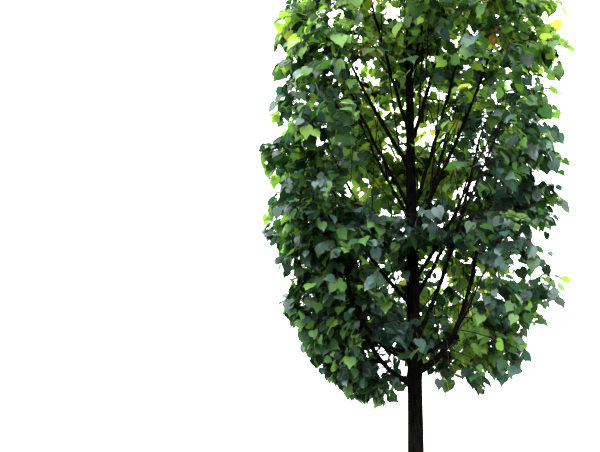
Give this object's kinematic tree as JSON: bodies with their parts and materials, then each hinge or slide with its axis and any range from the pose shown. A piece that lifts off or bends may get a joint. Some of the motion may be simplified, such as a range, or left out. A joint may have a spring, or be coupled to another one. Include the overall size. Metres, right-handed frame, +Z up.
{
  "type": "large-leaved linden tree",
  "caption": "Young linden with one straight trunk, boughs that leave it nearly level and turn up, and a narrow flame-shaped crown of broad heart-shaped leaves.",
  "frame": {"origin": "centre of the flat cut through the foot of the trunk, at ground level", "axes": "+Z up along the trunk, +X to the right and +Y away as the tree is seen in the picture"},
  "size_m": [2.6288, 2.6597, 8.3951],
  "materials": {
    "bark": "matt grey-brown bark with fine upright fissures",
    "leaf_mid": "smooth, slightly glossy above and dull below",
    "leaf_fresh": "smooth, slightly glossy above and dull below",
    "leaf_light": "smooth and thin, light shows through",
    "leaf_deep": "smooth, glossy above with a bluish sheen",
    "leaf_yellowing": "smooth and thin, turning yellow"
  },
  "bodies": {
    "root": {"trunk": "bark", "bough_low_right": "bark", "bough_low_left": "bark", "bough_low_back": "bark", "bough_low_front_left": "bark", "bough_low_front_right": "bark", "bough_low_back_right": "bark", "bough_mid_right": "bark", "bough_mid_back_right": "bark", "bough_mid_back": "bark", "bough_mid_left": "bark", "bough_mid_front_left": "bark", "bough_mid_front_right": "bark", "bough_fan_right": "bark", "bough_fan_back_right": "bark", "bough_fan_back": "bark", "bough_fan_left": "bark", "bough_fan_front_left": "bark", "bough_fan_front_right": "bark", "bough_high_right": "bark", "bough_high_back": "bark", "bough_high_left": "bark", "bough_high_front": "bark", "bough_upper_right": "bark", "bough_upper_back": "bark", "bough_upper_left": "bark", "bough_spire_right": "bark", "bough_spire_left": "bark", "bough_low_right_outer": "bark", "bough_low_left_outer": "bark", "foliage_low_right": "leaf_mid", "foliage_low_left": "leaf_fresh", "foliage_low_back": "leaf_light", "foliage_low_front_left": "leaf_deep", "foliage_low_front_right": "leaf_yellowing", "foliage_low_back_right": "leaf_mid", "foliage_mid_right": "leaf_fresh", "foliage_mid_back_right": "leaf_light", "foliage_mid_back": "leaf_deep", "foliage_mid_left": "leaf_yellowing", "foliage_mid_front_left": "leaf_mid", "foliage_mid_front_right": "leaf_fresh", "foliage_fan_right": "leaf_light", "foliage_fan_back_right": "leaf_deep", "foliage_fan_back": "leaf_yellowing", "foliage_fan_left": "leaf_mid", "foliage_fan_front_left": "leaf_fresh", "foliage_fan_front_right": "leaf_light", "foliage_high_right": "leaf_deep", "foliage_high_back": "leaf_yellowing", "foliage_high_left": "leaf_mid", "foliage_high_front": "leaf_fresh", "foliage_upper_right": "leaf_light", "foliage_upper_back": "leaf_deep", "foliage_upper_left": "leaf_yellowing", "foliage_spire_right": "leaf_mid", "foliage_spire_left": "leaf_fresh", "foliage_low_right_outer": "leaf_light", "foliage_low_left_outer": "leaf_deep", "foliage_top": "leaf_yellowing"}
  },
  "joints": []
}
